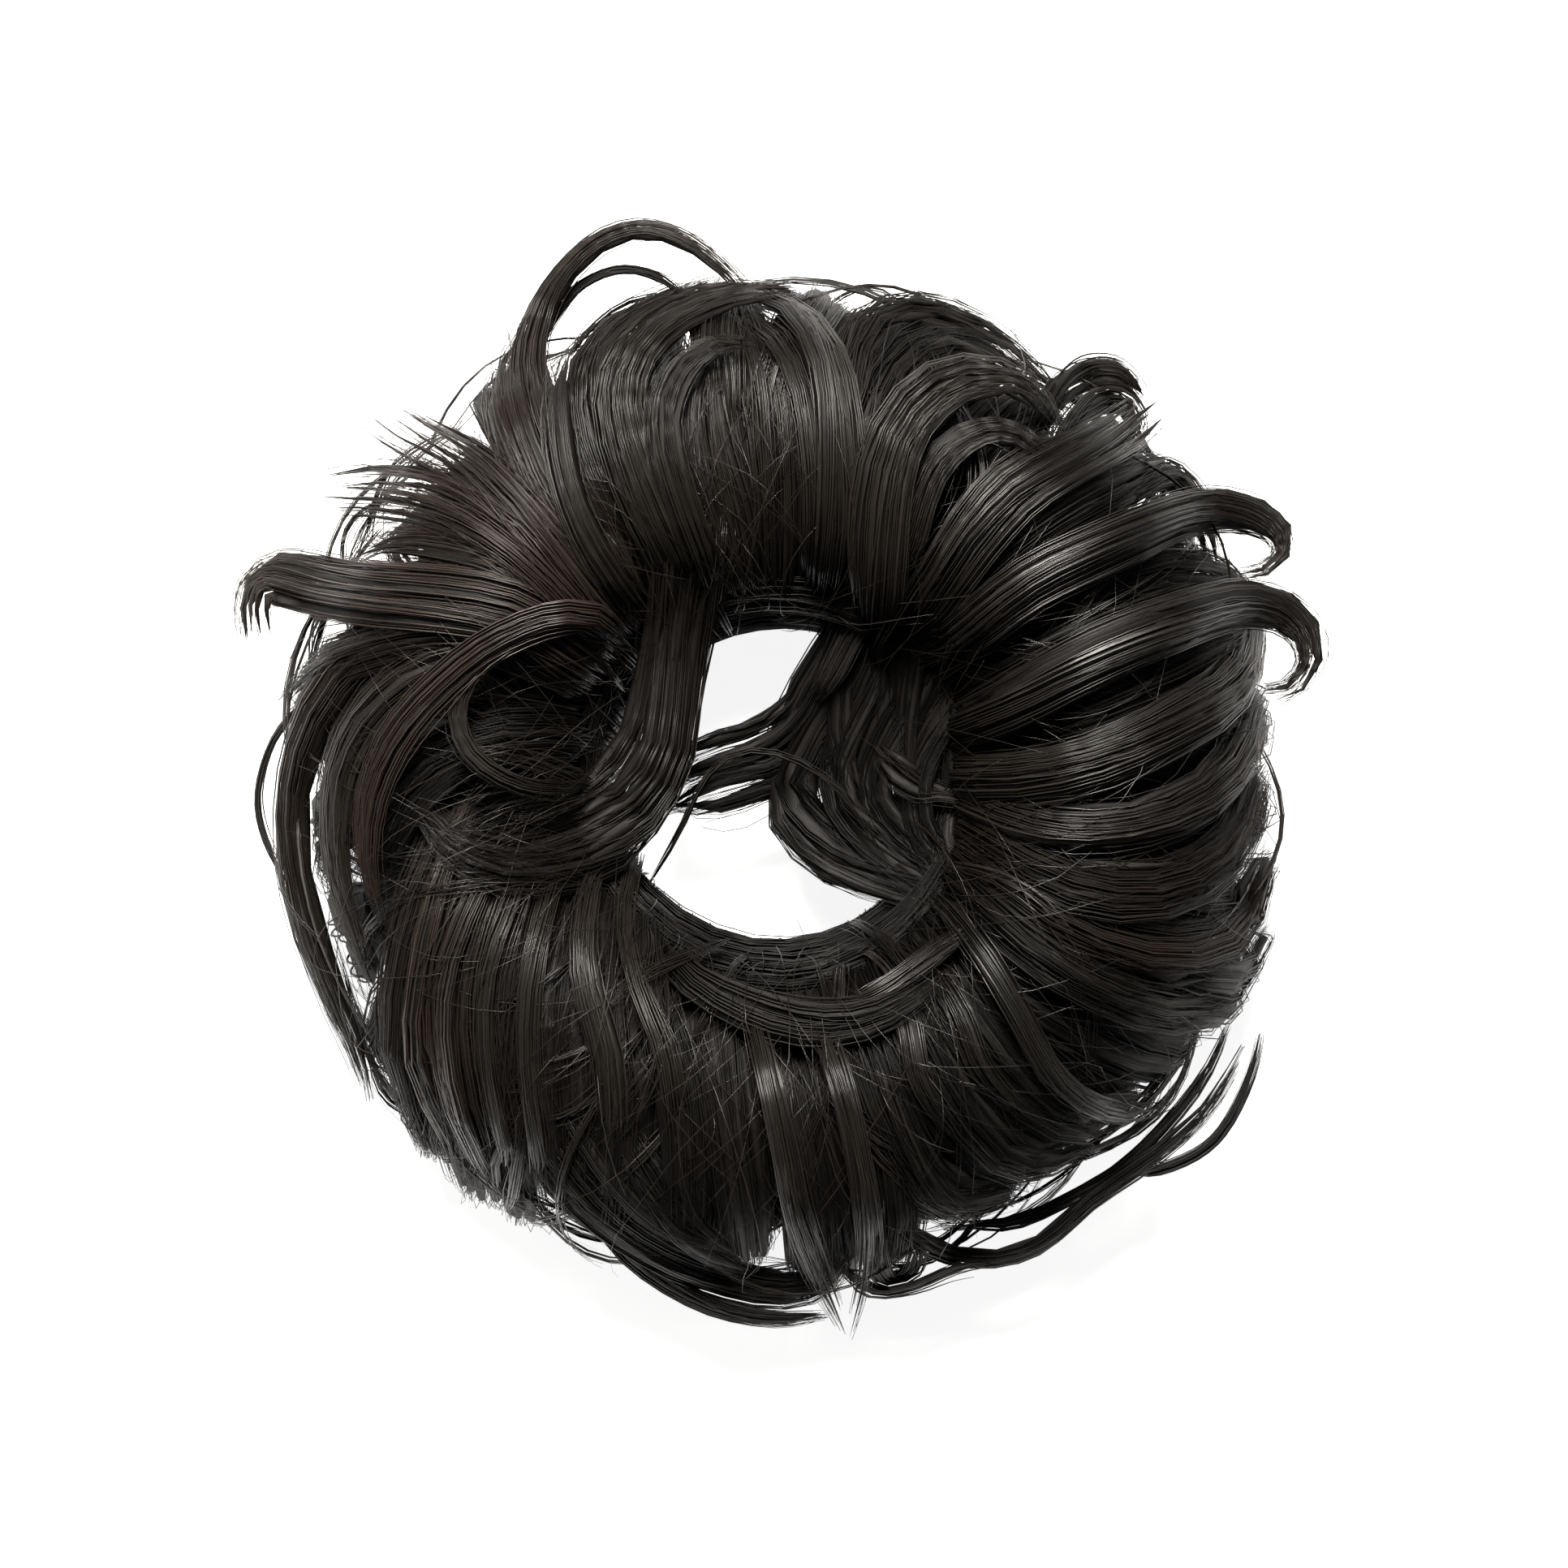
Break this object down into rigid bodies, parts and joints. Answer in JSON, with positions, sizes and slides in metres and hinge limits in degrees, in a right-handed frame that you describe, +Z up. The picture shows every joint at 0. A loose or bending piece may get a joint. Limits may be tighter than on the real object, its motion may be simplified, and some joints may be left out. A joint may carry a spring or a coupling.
{
  "type": "top knot hairpiece",
  "caption": "Messy bun hairpiece: dark curled hair sewn round a ring of elastic, with a hole through the middle for a gathered bun.",
  "frame": {"origin": "middle of the bounding box's bottom, on the surface that the ring lies on and under the hole's axis", "axes": "+Z up along the hole's axis, out of the face that the picture shows; +Y the picture's up, +X its right"},
  "size_m": [0.2012, 0.2135, 0.0625],
  "materials": {
    "hair": "satin sheen, curled locks of very dark brown synthetic hair",
    "wound_hair": "dull satin, hair wound tightly round the elastic",
    "elastic": "matt, braided black elastic cord"
  },
  "bodies": {
    "root": {"elastic_band": "elastic", "wound_hair": "wound_hair", "hair_ring": "hair"}
  },
  "joints": []
}
